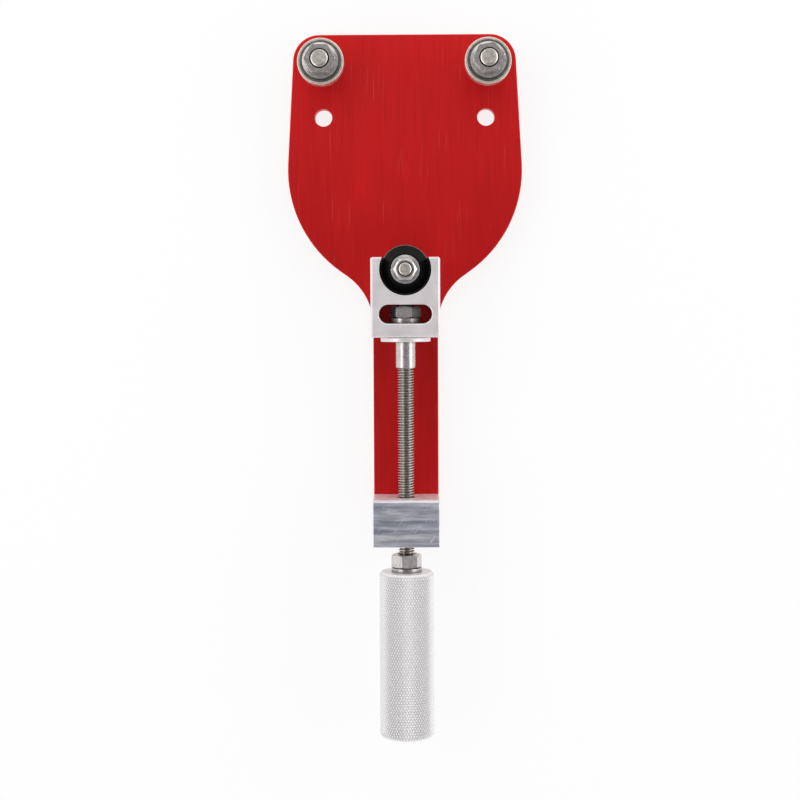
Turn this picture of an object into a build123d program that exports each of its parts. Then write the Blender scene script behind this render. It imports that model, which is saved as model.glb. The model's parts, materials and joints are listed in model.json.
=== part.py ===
"""Canister cutter: a flat plate with two fixed rollers and a screw-driven cutter wheel.

It lies on its back: +Z is out of the plate's front, +Y runs from the knurled handle to the
rollers, and +X is to the right. The origin is under the middle of the whole tool, at the
level of its lowest screw heads. All sizes are in millimetres.
"""

import math
import os

from build123d import *

# ---- driving dimensions -------------------------------------------------------------------

# plate
PLATE_THICK = 6.35
PLATE_BACK = 5.6  # height of the plate's back face, which stands on screw heads
PLATE_TOP_Y = 170.2
TOP_HALF_WIDTH = 53.55
SHOULDER_HALF_WIDTH = 58.9
SHOULDER_Y = 74.6
TAIL_WIDTH = 31.75
NECK_Y = 43.95
TAIL_END_Y = -76.7
TOP_CORNER_RADIUS = 12.7
SHOULDER_RADIUS = 60.4
NECK_RADIUS = 29.6
TAIL_CORNER_RADIUS = 0.5
PLATE_EDGE = 0.4
SPARE_HOLE_X = 39.6
SPARE_HOLE_Y = 130.1
SPARE_HOLE_RADIUS = 4.25
SPARE_HOLE_EDGE = 0.3
SLOT_WIDTH = 6.2
SLOT_TOP_Y = 54.5
SLOT_BOTTOM_Y = -36.2

# screw drive
SCREW_Z = 24.65
ROD_RADIUS = 4.0
ROD_TOP_Y = 38.0
ROD_BOTTOM_Y = -112.2
ROD_TIP_EDGE = 0.8
THREAD_FIT = 0.02  # radial gap that stands for an engaged thread
CLOSE_FIT = 0.1  # radial gap of a ring or hole that a shank passes through
LOOSE_FIT = 0.2
END_PLAY = 0.15  # the slider's play on the rod, each way
END_NUT_TURN = -7.0  # degrees by which each nut came to rest on its thread
JAM_NUT_TURN = 14.0
ROLLER_NUT_TURNS = {"left": 0.0, "right": 10.0}
THRUST_WASHER_RADIUS = 12.0
THRUST_WASHER_THICK = 2.0
SLEEVE_RADIUS = 4.8
SLEEVE_LENGTH = 12.7
LOCK_WASHER_RADIUS = 7.4
END_LOCK_THICK = 2.2
HANDLE_LOCK_THICK = 2.0

# sliding block
SLIDER_WIDTH = 33.0
SLIDER_TOP_Y = 61.4
SLIDER_BOTTOM_Y = 23.3
SLIDER_BACK_GAP = 0.15
SLIDER_FRONT = 37.35
SLIDER_CORNER_RADIUS = 1.1
SLIDER_CHAMFER = 0.9
WINDOW_LENGTH = 25.3
WINDOW_TOP_Y = 38.9
WINDOW_BOTTOM_Y = 29.9
WINDOW_EDGE_RADIUS = 0.6
KEY_WIDTH = 6.1
KEY_TOP_Y = 49.4
KEY_BOTTOM_Y = 25.8
KEY_GAP = 0.15  # between the keeper and the plate's back
KEEPER_WIDTH = 20.0
KEEPER_LENGTH = 27.0
KEEPER_THICK = 3.0
KEEPER_CORNER_RADIUS = 2.0
KEEPER_EDGE = 0.4
KEEPER_SCREW_SPACING = 14.0
KEEPER_SCREW_LENGTH = 8.0
KEEPER_TAP_DEPTH = 5.8

# cutter wheel
CUTTER_Y = 55.6
CUTTER_RADIUS = 11.7
CUTTER_THICK = 5.0
CUTTER_FLAT_RADIUS = 7.6
CUTTER_SIDE_PLAY = 0.15
POCKET_RADIUS = 12.35
POCKET_FLOOR = 22.0
HEAD_POCKET_RADIUS = 5.2  # counterbore in the slider's back for the cutter bolt's head
HEAD_POCKET_DEPTH = 4.9
CUTTER_SPACER_LENGTH = 6.8
CUTTER_SPACER_RADIUS = 6.5
BUSHING_RADIUS = 5.0
BUSHING_LENGTH = 5.3

# rollers: standard 8 x 22 x 7 ball bearings
ROLLER_X = 39.6
ROLLER_Y = 153.8
BEARING_RADIUS = 11.0
BEARING_WIDTH = 7.0
BALL_RADIUS = 1.984
BALL_CIRCLE_RADIUS = 7.5
BALL_COUNT = 7
GROOVE_RADIUS = 2.08
INNER_LAND_RADIUS = 6.05
OUTER_LAND_RADIUS = 8.95
SHIELD_RADIUS = 9.8
RING_CORNER_RADIUS = 0.35
SPACER_RADIUS = 6.0
SPACER_LENGTH = 16.0
SHIM_THICK = 1.0

# fixed block
BLOCK_LENGTH = 22.5
BLOCK_TOP_Y = TAIL_END_Y + BLOCK_LENGTH
BLOCK_SCREW_X = 8.5
BLOCK_SCREW_LENGTH = 16.0
BLOCK_TAP_DEPTH = 9.0
BLOCK_ROLLER_SIDE_BEVEL = 1.1
BLOCK_EDGE = 0.3
BLOCK_BORE_EDGE = 0.5

# handle
HANDLE_RADIUS = 13.25
HANDLE_TOP_Y = -90.2
HANDLE_LENGTH = 80.0
HANDLE_EDGE = 1.0
HANDLE_BORE_SPARE = 2.0  # how much deeper the bore is than the rod reaches

# fasteners: across flats, heights and flange sizes of the metric series
M8_FLATS = 13.0
M8_HEAD = 5.3
M8_NUT_HEIGHT = 6.5
M8_LOW_NUT_HEIGHT = 6.0
M8_FLANGE_RADIUS = 8.5
M8_FLANGE_NUT_HEIGHT = 8.0
M8_BOLT_LENGTH = 40.0
M6_RADIUS = 3.0
M6_FLATS = 10.0
M6_HEAD = 4.0
M6_FLANGE_RADIUS = 6.85
M6_FLANGE_NUT_HEIGHT = 6.0
CUTTER_BOLT_LENGTH = 25.0
CUTTER_BOLT_HEAD_RADIUS = 5.0  # a low cap head
CUTTER_BOLT_HEAD = 4.0
M4_RADIUS = 2.0
WASHER_M6_RADIUS = 6.0
WASHER_M6_THICK = 1.6
FLANGE_SLOPE_DEG = 14.0
NUT_MOUTH = 0.5  # a plain nut's countersink
FLANGE_MOUTH_SHARE = 0.17  # a flange nut's countersink, as a share of its bore's radius
FLANGE_RIM_SHARE = 0.12  # the height of a flange's upright rim, as a share of its radius
HEX_FACE_SHARE = 0.95  # the round face of a nut or head, as a share of its width across flats
M6_FLANGE_FACE_SHARE = 0.86
M8_FLANGE_FACE_SHARE = 1.10
BOLT_TIP_SHARE = 0.18  # the bevel of a bolt's tip, as a share of its radius

# ---- planes worked out from them ----------------------------------------------------------

PLATE_FRONT = PLATE_BACK + PLATE_THICK
SLIDER_BACK = PLATE_FRONT + SLIDER_BACK_GAP
BEARING_BACK = PLATE_FRONT + SPACER_LENGTH
KEEPER_FRONT = PLATE_BACK - KEY_GAP
KEEPER_BACK = KEEPER_FRONT - KEEPER_THICK


def upright(x, y, z):
    """A plane at height z whose axis points up."""
    return Plane(origin=(x, y, z), x_dir=(1, 0, 0), z_dir=(0, 0, 1))


def along_rod(y):
    """A plane square to the rod at y, whose axis points to the rollers."""
    return Plane(origin=(0, y, SCREW_Z), x_dir=(1, 0, 0), z_dir=(0, 1, 0))


def lengthwise(seat):
    """The plane that holds a seat plane's axis, with the axis as its own Y direction."""
    return Plane(origin=seat.origin, x_dir=seat.x_dir, z_dir=-seat.y_dir)


def axis_of(seat):
    return Axis(seat.origin, seat.z_dir)


def write(part, name):
    part.label = name
    export_step(part, f"parts/{name}.step")


# ---- fasteners and rings, each made on the plane that it seats on ---------------------------


def washer(seat, outer_radius, inner_radius, thick, edge=0.15):
    with BuildPart() as ring:
        with BuildSketch(seat):
            Circle(outer_radius)
            Circle(inner_radius, mode=Mode.SUBTRACT)
        extrude(amount=thick)
        rims = ring.edges().filter_by(GeomType.CIRCLE).sort_by(SortBy.RADIUS)[-2:]
        chamfer(rims, length=edge)
    return ring.part


def lock_washer(seat, outer_radius, inner_radius, thick):
    """A spring washer pressed flat, with its slanting split."""
    split = 0.35
    slant = 0.6
    with BuildPart() as ring:
        with BuildSketch(seat):
            Circle(outer_radius)
            Circle(inner_radius, mode=Mode.SUBTRACT)
        extrude(amount=thick)
        across = Plane(origin=seat.origin, x_dir=seat.y_dir, z_dir=seat.x_dir)
        with BuildSketch(across):
            Polygon(
                (-split - slant, 0),
                (split - slant, 0),
                (split + slant, thick),
                (-split + slant, thick),
                align=None,
            )
        extrude(amount=outer_radius + 1, mode=Mode.SUBTRACT)
    return ring.part


def corner_profile(seat, across_flats, low, high, low_bevel, high_bevel, face_share=HEX_FACE_SHARE):
    """The profile, turned about the seat's axis, that takes the corners off a hexagon."""
    corner = across_flats / math.sqrt(3) + 0.01
    face = across_flats / 2 * face_share
    drop = (corner - face) * math.tan(math.radians(30))
    with BuildSketch(lengthwise(seat)) as profile:
        with BuildLine():
            Polyline(
                (0, low),
                (face if low_bevel else corner, low),
                (corner, low + drop),
                (corner, high - drop),
                (face if high_bevel else corner, high),
                (0, high),
                close=True,
            )
        make_face()
    return profile.sketch


def hex_nut(seat, across_flats, bore_radius, height, turn=0):
    """A plain nut, turned on its thread by some degrees."""
    turned = corner_profile(seat, across_flats, 0, height, True, True)
    with BuildPart() as nut:
        with BuildSketch(seat):
            RegularPolygon(across_flats / 2, 6, major_radius=False, rotation=turn)
            Circle(bore_radius, mode=Mode.SUBTRACT)
        extrude(amount=height)
        revolve(turned, axis=axis_of(seat), mode=Mode.INTERSECT)
        mouths = nut.edges().filter_by(GeomType.CIRCLE).group_by(SortBy.RADIUS)[0]
        chamfer(mouths, length=NUT_MOUTH)
    return nut.part


def flange_nut(seat, across_flats, bore_radius, height, flange_radius, face_share, turn=0):
    """A nut with its own washer, which slopes gently up to the hexagon."""
    rim = flange_radius * FLANGE_RIM_SHARE
    slope = (flange_radius - across_flats / 2) * math.tan(math.radians(FLANGE_SLOPE_DEG))
    turned = corner_profile(seat, across_flats, 0, height, False, True, face_share)
    with BuildPart() as nut:
        with BuildSketch(seat):
            RegularPolygon(across_flats / 2, 6, major_radius=False, rotation=turn)
            Circle(bore_radius, mode=Mode.SUBTRACT)
        extrude(amount=height)
        revolve(turned, axis=axis_of(seat), mode=Mode.INTERSECT)
        top_rim = nut.faces().sort_by(axis_of(seat))[-1].inner_wires()[0]
        chamfer(top_rim.edges(), length=bore_radius * FLANGE_MOUTH_SHARE)
        with BuildSketch(lengthwise(seat)):
            with BuildLine():
                Polyline(
                    (bore_radius, 0),
                    (flange_radius, 0),
                    (flange_radius, rim),
                    (across_flats / 2, rim + slope),
                    (bore_radius, rim + slope),
                    close=True,
                )
            make_face()
        revolve(axis=axis_of(seat))
    return nut.part


def hex_bolt(seat, across_flats, head_height, radius, length):
    """A hexagon-head bolt whose shank runs along the seat plane's axis."""
    turned = corner_profile(seat, across_flats, -head_height, 0, True, False)
    with BuildPart() as bolt:
        with BuildSketch(seat):
            RegularPolygon(across_flats / 2, 6, major_radius=False)
        extrude(amount=-head_height)
        revolve(turned, axis=axis_of(seat), mode=Mode.INTERSECT)
        with BuildSketch(seat):
            Circle(radius)
        extrude(amount=length)
        tip = bolt.faces().sort_by(axis_of(seat))[-1]
        chamfer(tip.edges(), length=radius * BOLT_TIP_SHARE)
    return bolt.part


def cap_screw(seat, head_radius, head_height, radius, length):
    """A socket screw with a low round head, whose shank runs along the seat plane's axis."""
    head_edge = 0.4
    socket_flats = 4.0
    socket_depth = 2.4
    with BuildPart() as screw:
        with BuildSketch(seat):
            Circle(head_radius)
        extrude(amount=-head_height)
        head_face = screw.faces().sort_by(axis_of(seat))[0]
        chamfer(head_face.edges(), length=head_edge)
        with BuildSketch(seat):
            Circle(radius)
        extrude(amount=length)
        tip = screw.faces().sort_by(axis_of(seat))[-1]
        chamfer(tip.edges(), length=radius * BOLT_TIP_SHARE)
        with BuildSketch(seat.offset(-head_height)):
            RegularPolygon(socket_flats / 2, 6, major_radius=False)
        extrude(amount=socket_depth, mode=Mode.SUBTRACT)
    return screw.part


# ---- the plate ----------------------------------------------------------------------------


def make_plate():
    half_tail = TAIL_WIDTH / 2
    with BuildPart() as plate:
        with BuildSketch(Plane.XY.offset(PLATE_BACK)):
            with BuildLine():
                FilletPolyline(
                    (0, PLATE_TOP_Y),
                    (TOP_HALF_WIDTH, PLATE_TOP_Y),
                    (SHOULDER_HALF_WIDTH, SHOULDER_Y),
                    (half_tail, NECK_Y),
                    (half_tail, TAIL_END_Y),
                    (0, TAIL_END_Y),
                    radius=[TOP_CORNER_RADIUS, SHOULDER_RADIUS, NECK_RADIUS, TAIL_CORNER_RADIUS],
                )
                mirror(about=Plane.YZ)
            make_face()
        extrude(amount=PLATE_THICK)
        front_and_back = plate.faces().filter_by(Axis.Z)
        chamfer(front_and_back.edges(), length=PLATE_EDGE)

        slot_length = SLOT_TOP_Y - SLOT_BOTTOM_Y
        with BuildSketch(Plane.XY.offset(PLATE_BACK)):
            with Locations((0, (SLOT_TOP_Y + SLOT_BOTTOM_Y) / 2)):
                SlotOverall(slot_length, SLOT_WIDTH, rotation=90)
            with Locations((0, SPARE_HOLE_Y), (0, ROLLER_Y)):
                with GridLocations(2 * SPARE_HOLE_X, 0, 2, 1):
                    Circle(SPARE_HOLE_RADIUS)
            with Locations((0, BLOCK_TOP_Y - BLOCK_LENGTH / 2)):
                with GridLocations(2 * BLOCK_SCREW_X, 0, 2, 1):
                    Circle(M6_RADIUS + LOOSE_FIT)
        extrude(amount=PLATE_THICK, mode=Mode.SUBTRACT)
        spare_rims = (
            plate.edges()
            .filter_by(GeomType.CIRCLE)
            .filter_by(lambda edge: abs(edge.radius - SPARE_HOLE_RADIUS) < 0.01)
            .filter_by(lambda edge: abs(edge.arc_center.Y - SPARE_HOLE_Y) < 0.01)
        )
        chamfer(spare_rims, length=SPARE_HOLE_EDGE)
    write(plate.part, "body_plate")


# ---- the fixed block, its screws and washers ------------------------------------------------


def make_end_block():
    block_mid_y = BLOCK_TOP_Y - BLOCK_LENGTH / 2
    height = SLIDER_FRONT - PLATE_FRONT
    with BuildPart() as block:
        with BuildSketch(Plane.XY.offset(PLATE_FRONT)):
            with Locations((0, block_mid_y)):
                Rectangle(TAIL_WIDTH, BLOCK_LENGTH)
        extrude(amount=height)
        front_edges = block.faces().sort_by(Axis.Z)[-1].edges()
        roller_side_edge = front_edges.sort_by(Axis.Y)[-1]
        chamfer(roller_side_edge, length=BLOCK_ROLLER_SIDE_BEVEL)
        front_edges = block.faces().sort_by(Axis.Z)[-1].edges()
        chamfer(front_edges.sort_by(Axis.Y)[:-1], length=BLOCK_EDGE)
        with BuildSketch(along_rod(TAIL_END_Y)):
            Circle(ROD_RADIUS + CLOSE_FIT / 2)
        extrude(amount=BLOCK_LENGTH, mode=Mode.SUBTRACT)
        bore_rims = block.edges().filter_by(GeomType.CIRCLE)
        chamfer(bore_rims, length=BLOCK_BORE_EDGE)
        with BuildSketch(Plane.XY.offset(PLATE_FRONT)):
            with Locations((0, block_mid_y)):
                with GridLocations(2 * BLOCK_SCREW_X, 0, 2, 1):
                    Circle(M6_RADIUS + THREAD_FIT)
        extrude(amount=BLOCK_TAP_DEPTH, mode=Mode.SUBTRACT)
    write(block.part, "end_block")


def make_end_block_fasteners():
    y = BLOCK_TOP_Y - BLOCK_LENGTH / 2
    screws = []
    washers = []
    for x in (-BLOCK_SCREW_X, BLOCK_SCREW_X):
        seat = upright(x, y, M6_HEAD)
        screws.append(hex_bolt(seat, M6_FLATS, M6_HEAD, M6_RADIUS, BLOCK_SCREW_LENGTH))
        washers.append(washer(seat, WASHER_M6_RADIUS, M6_RADIUS + LOOSE_FIT, WASHER_M6_THICK))
    write(Compound(children=screws), "end_block_screws")
    write(Compound(children=washers), "end_block_washers")


# ---- the sliding block, its key and its keeper ----------------------------------------------


def make_slider():
    height = SLIDER_FRONT - SLIDER_BACK
    length = SLIDER_TOP_Y - SLIDER_BOTTOM_Y
    window_height = WINDOW_TOP_Y - WINDOW_BOTTOM_Y
    with BuildPart() as slider:
        with BuildSketch(Plane.XY.offset(SLIDER_BACK)):
            with Locations((0, SLIDER_BOTTOM_Y + length / 2)):
                RectangleRounded(SLIDER_WIDTH, length, SLIDER_CORNER_RADIUS)
        extrude(amount=height)
        chamfer(slider.faces().sort_by(Axis.Z)[-1].edges(), length=SLIDER_CHAMFER)

        # circular pocket for the cutter wheel, open towards the rollers
        with BuildSketch(Plane.XY.offset(POCKET_FLOOR)):
            with Locations((0, CUTTER_Y)):
                Circle(POCKET_RADIUS)
        extrude(amount=SLIDER_FRONT - POCKET_FLOOR, mode=Mode.SUBTRACT)

        # window round the rod's end nut
        with BuildSketch(Plane.XY.offset(SLIDER_BACK)):
            with Locations((0, (WINDOW_TOP_Y + WINDOW_BOTTOM_Y) / 2)):
                SlotOverall(WINDOW_LENGTH, window_height)
        extrude(amount=height, mode=Mode.SUBTRACT)
        front_face = slider.faces().sort_by(Axis.Z)[-1]
        fillet(front_face.inner_wires()[0].edges(), radius=WINDOW_EDGE_RADIUS)

        # hole for the rod, through the wall below the window
        with BuildSketch(along_rod(SLIDER_BOTTOM_Y)):
            Circle(ROD_RADIUS + LOOSE_FIT)
        extrude(amount=WINDOW_BOTTOM_Y - SLIDER_BOTTOM_Y, mode=Mode.SUBTRACT)

        # cutter bolt: through hole, and a deep counterbore from the back
        with BuildSketch(Plane.XY.offset(SLIDER_BACK)):
            with Locations((0, CUTTER_Y)):
                Circle(M6_RADIUS + CLOSE_FIT)
        extrude(amount=height, mode=Mode.SUBTRACT)
        with BuildSketch(Plane.XY.offset(SLIDER_BACK)):
            with Locations((0, CUTTER_Y)):
                Circle(HEAD_POCKET_RADIUS)
        extrude(amount=HEAD_POCKET_DEPTH, mode=Mode.SUBTRACT)

        # key that runs in the plate's slot, with two tapped holes
        with BuildSketch(Plane.XY.offset(KEEPER_FRONT)):
            with Locations((0, (KEY_TOP_Y + KEY_BOTTOM_Y) / 2)):
                SlotOverall(KEY_TOP_Y - KEY_BOTTOM_Y, KEY_WIDTH, rotation=90)
        extrude(amount=SLIDER_BACK - KEEPER_FRONT)
        with BuildSketch(Plane.XY.offset(KEEPER_FRONT)):
            for y in keeper_screw_ys():
                with Locations((0, y)):
                    Circle(M4_RADIUS + THREAD_FIT)
        extrude(amount=KEEPER_TAP_DEPTH, mode=Mode.SUBTRACT)
    write(slider.part, "slider_block")


def keeper_screw_ys():
    middle = (KEY_TOP_Y + KEY_BOTTOM_Y) / 2
    return (middle - KEEPER_SCREW_SPACING / 2, middle + KEEPER_SCREW_SPACING / 2)


def make_keeper():
    middle = (KEY_TOP_Y + KEY_BOTTOM_Y) / 2
    with BuildPart() as keeper:
        with BuildSketch(Plane.XY.offset(KEEPER_BACK)):
            with Locations((0, middle)):
                RectangleRounded(KEEPER_WIDTH, KEEPER_LENGTH, KEEPER_CORNER_RADIUS)
        extrude(amount=KEEPER_THICK)
        chamfer(keeper.faces().sort_by(Axis.Z)[0].edges(), length=KEEPER_EDGE)
        with BuildSketch(Plane.XY.offset(KEEPER_BACK)):
            for y in keeper_screw_ys():
                with Locations((0, y)):
                    Circle(M4_RADIUS + LOOSE_FIT)
        extrude(amount=KEEPER_THICK, mode=Mode.SUBTRACT)
    write(keeper.part, "keeper_plate")


def button_screw(seat, radius, length):
    """A round-head socket screw whose shank runs along the seat plane's axis."""
    head_radius = 3.8
    head_height = 2.2
    rim = 0.4
    crown_radius = 1.9
    socket_flats = 2.5
    socket_depth = 1.4
    with BuildPart() as screw:
        with BuildSketch(lengthwise(seat)):
            with BuildLine():
                Line((0, 0), (head_radius, 0))
                Line((head_radius, 0), (head_radius, -rim))
                ThreePointArc((head_radius, -rim), (2.9, -1.6), (crown_radius, -head_height))
                Line((crown_radius, -head_height), (0, -head_height))
                Line((0, -head_height), (0, 0))
            make_face()
        revolve(axis=axis_of(seat))
        with BuildSketch(seat):
            Circle(radius)
        extrude(amount=length)
        with BuildSketch(seat.offset(-head_height)):
            RegularPolygon(socket_flats / 2, 6, major_radius=False)
        extrude(amount=socket_depth, mode=Mode.SUBTRACT)
    return screw.part


def make_keeper_screws():
    seats = [upright(0, y, KEEPER_BACK) for y in keeper_screw_ys()]
    screws = [button_screw(seat, M4_RADIUS, KEEPER_SCREW_LENGTH) for seat in seats]
    write(Compound(children=screws), "keeper_screws")


# ---- the cutter wheel and its axle ----------------------------------------------------------


def make_cutter():
    edge_land = 0.1
    low = POCKET_FLOOR + CUTTER_SPACER_LENGTH + CUTTER_SIDE_PLAY
    bore = BUSHING_RADIUS + CLOSE_FIT / 2
    middle = low + CUTTER_THICK / 2
    with BuildPart() as wheel:
        with BuildSketch(Plane.XZ.offset(-CUTTER_Y)):
            with BuildLine():
                Polyline(
                    (bore, low),
                    (CUTTER_FLAT_RADIUS, low),
                    (CUTTER_RADIUS, middle - edge_land),
                    (CUTTER_RADIUS, middle + edge_land),
                    (CUTTER_FLAT_RADIUS, low + CUTTER_THICK),
                    (bore, low + CUTTER_THICK),
                    close=True,
                )
            make_face()
        revolve(axis=Axis((0, CUTTER_Y, 0), (0, 0, 1)))
    write(wheel.part, "cutter_wheel")


def make_cutter_axle():
    floor = upright(0, CUTTER_Y, POCKET_FLOOR)
    on_spacer = floor.offset(CUTTER_SPACER_LENGTH)
    on_bushing = on_spacer.offset(BUSHING_LENGTH)
    bolt_seat = upright(0, CUTTER_Y, SLIDER_BACK + HEAD_POCKET_DEPTH)
    bore = M6_RADIUS + CLOSE_FIT
    thread = M6_RADIUS + THREAD_FIT
    nut = flange_nut(
        on_bushing,
        M6_FLATS,
        thread,
        M6_FLANGE_NUT_HEIGHT,
        M6_FLANGE_RADIUS,
        M6_FLANGE_FACE_SHARE,
    )
    write(washer(floor, CUTTER_SPACER_RADIUS, bore, CUTTER_SPACER_LENGTH), "cutter_spacer")
    write(washer(on_spacer, BUSHING_RADIUS, bore, BUSHING_LENGTH, edge=0.2), "cutter_bushing")
    bolt = cap_screw(
        bolt_seat,
        CUTTER_BOLT_HEAD_RADIUS,
        CUTTER_BOLT_HEAD,
        M6_RADIUS,
        CUTTER_BOLT_LENGTH,
    )
    write(bolt, "cutter_bolt")
    write(nut, "cutter_nut")


# ---- the rod and what turns with it ---------------------------------------------------------


def make_rod():
    with BuildPart() as rod:
        with BuildSketch(along_rod(ROD_BOTTOM_Y)):
            Circle(ROD_RADIUS)
        extrude(amount=ROD_TOP_Y - ROD_BOTTOM_Y)
        chamfer(rod.edges().filter_by(GeomType.CIRCLE), length=ROD_TIP_EDGE)
    write(rod.part, "lead_screw")


def make_rod_fittings():
    thread = ROD_RADIUS + THREAD_FIT
    loose = ROD_RADIUS + CLOSE_FIT

    thrust_y = SLIDER_BOTTOM_Y - END_PLAY - THRUST_WASHER_THICK
    sleeve_y = thrust_y - SLEEVE_LENGTH
    thrust = washer(along_rod(thrust_y), THRUST_WASHER_RADIUS, thread, THRUST_WASHER_THICK, edge=0.3)
    sleeve = washer(along_rod(sleeve_y), SLEEVE_RADIUS, thread, SLEEVE_LENGTH, edge=0.2)
    write(thrust, "thrust_washer")
    write(sleeve, "thrust_sleeve")

    lock_y = WINDOW_BOTTOM_Y + END_PLAY
    nut_seat = along_rod(lock_y + END_LOCK_THICK)
    end_lock = lock_washer(along_rod(lock_y), LOCK_WASHER_RADIUS, loose, END_LOCK_THICK)
    end_nut = hex_nut(nut_seat, M8_FLATS, thread, M8_LOW_NUT_HEIGHT, END_NUT_TURN)
    write(end_lock, "rod_end_lock_washer")
    write(end_nut, "rod_end_nut")

    jam_seat = along_rod(HANDLE_TOP_Y + HANDLE_LOCK_THICK)
    jam_lock = lock_washer(along_rod(HANDLE_TOP_Y), LOCK_WASHER_RADIUS, loose, HANDLE_LOCK_THICK)
    jam_nut = hex_nut(jam_seat, M8_FLATS, thread, M8_NUT_HEIGHT, JAM_NUT_TURN)
    write(jam_lock, "handle_lock_washer")
    write(jam_nut, "handle_jam_nut")


def make_handle():
    bore_depth = HANDLE_TOP_Y - ROD_BOTTOM_Y + HANDLE_BORE_SPARE
    with BuildPart() as handle:
        with BuildSketch(along_rod(HANDLE_TOP_Y - HANDLE_LENGTH)):
            Circle(HANDLE_RADIUS)
        extrude(amount=HANDLE_LENGTH)
        chamfer(handle.edges().filter_by(GeomType.CIRCLE), length=HANDLE_EDGE)
        with BuildSketch(along_rod(HANDLE_TOP_Y)):
            Circle(ROD_RADIUS + THREAD_FIT)
        extrude(amount=-bore_depth, mode=Mode.SUBTRACT)
    write(handle.part, "handle")


# ---- a roller: one ball bearing on its bolt -------------------------------------------------


def bearing_outer_ring(back):
    shield_seat = 0.45
    with BuildPart() as ring:
        with BuildSketch(back):
            Circle(BEARING_RADIUS)
            Circle(OUTER_LAND_RADIUS, mode=Mode.SUBTRACT)
        extrude(amount=BEARING_WIDTH)
        rims = ring.edges().filter_by(GeomType.CIRCLE).sort_by(SortBy.RADIUS)[-2:]
        fillet(rims, radius=RING_CORNER_RADIUS)
        for face in (back, back.offset(BEARING_WIDTH - shield_seat)):
            with BuildSketch(face):
                Circle(SHIELD_RADIUS)
                Circle(OUTER_LAND_RADIUS - 1, mode=Mode.SUBTRACT)
            extrude(amount=shield_seat, mode=Mode.SUBTRACT)
        with Locations(back.offset(BEARING_WIDTH / 2)):
            Torus(BALL_CIRCLE_RADIUS, GROOVE_RADIUS, mode=Mode.SUBTRACT)
    return ring.part


def bearing_inner_ring(back):
    with BuildPart() as ring:
        with BuildSketch(back):
            Circle(INNER_LAND_RADIUS)
            Circle(ROD_RADIUS + THREAD_FIT, mode=Mode.SUBTRACT)
        extrude(amount=BEARING_WIDTH)
        with Locations(back.offset(BEARING_WIDTH / 2)):
            Torus(BALL_CIRCLE_RADIUS, GROOVE_RADIUS, mode=Mode.SUBTRACT)
    return ring.part


def bearing_balls(back):
    with BuildPart() as balls:
        with Locations(back.offset(BEARING_WIDTH / 2)):
            with PolarLocations(BALL_CIRCLE_RADIUS, BALL_COUNT):
                Sphere(BALL_RADIUS)
    return balls.part


def bearing_cage(back):
    """A crown cage: a ring below the balls, with horns that close over them."""
    middle = BEARING_WIDTH / 2
    floor = middle - 2.55
    height = 3.45
    half_wall = 0.75
    ball_gap = 0.1
    with BuildPart() as cage:
        with BuildSketch(back.offset(floor)):
            Circle(BALL_CIRCLE_RADIUS + half_wall)
            Circle(BALL_CIRCLE_RADIUS - half_wall, mode=Mode.SUBTRACT)
        extrude(amount=height)
        with Locations(back.offset(middle)):
            with PolarLocations(BALL_CIRCLE_RADIUS, BALL_COUNT):
                Sphere(BALL_RADIUS + ball_gap, mode=Mode.SUBTRACT)
    return cage.part


def bearing_shields(back):
    """Two dished steel shields, seated in the outer ring and clear of the inner ring."""
    thick = 0.3
    inset = 0.12
    outer = SHIELD_RADIUS - 0.01
    inner = INNER_LAND_RADIUS + 0.2
    low = back.offset(inset)
    high = back.offset(BEARING_WIDTH - inset - thick)
    return Compound(children=[washer(seat, outer, inner, thick, edge=0.1) for seat in (low, high)])


def make_roller(side, x):
    plate_back = upright(x, ROLLER_Y, PLATE_BACK)
    plate_front = upright(x, ROLLER_Y, PLATE_FRONT)
    back = upright(x, ROLLER_Y, BEARING_BACK)
    front = back.offset(BEARING_WIDTH)
    nut_seat = front.offset(SHIM_THICK)
    bore = ROD_RADIUS + CLOSE_FIT
    nut = flange_nut(
        nut_seat,
        M8_FLATS,
        ROD_RADIUS + THREAD_FIT,
        M8_FLANGE_NUT_HEIGHT,
        M8_FLANGE_RADIUS,
        M8_FLANGE_FACE_SHARE,
        ROLLER_NUT_TURNS[side],
    )

    write(hex_bolt(plate_back, M8_FLATS, M8_HEAD, ROD_RADIUS, M8_BOLT_LENGTH), f"{side}_roller_bolt")
    write(washer(plate_front, SPACER_RADIUS, bore, SPACER_LENGTH, edge=0.3), f"{side}_roller_spacer")
    write(bearing_outer_ring(back), f"{side}_bearing_outer_ring")
    write(bearing_inner_ring(back), f"{side}_bearing_inner_ring")
    write(bearing_balls(back), f"{side}_bearing_balls")
    write(bearing_cage(back), f"{side}_bearing_cage")
    write(bearing_shields(back), f"{side}_bearing_shields")
    write(washer(front, SPACER_RADIUS, bore, SHIM_THICK), f"{side}_roller_shim")
    write(nut, f"{side}_roller_nut")


# ---- build everything -----------------------------------------------------------------------

os.makedirs("parts", exist_ok=True)
make_plate()
make_end_block()
make_end_block_fasteners()
make_slider()
make_keeper()
make_keeper_screws()
make_cutter()
make_cutter_axle()
make_rod()
make_rod_fittings()
make_handle()
make_roller("left", -ROLLER_X)
make_roller("right", ROLLER_X)
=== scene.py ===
"""Looks for the canister cutter: threads, knurl, materials, light and camera.

Every length is in metres, in the frame of the CAD model: +Z out of the plate's front, +Y towards
the rollers. MM turns millimetres into metres. The threads and the knurl are finer than the CAD
solids, so they are made here and stand for them. Every other piece is the CAD solid, painted.
"""

import json
import math

import bmesh
import bpy
from mathutils import Matrix, Vector


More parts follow.
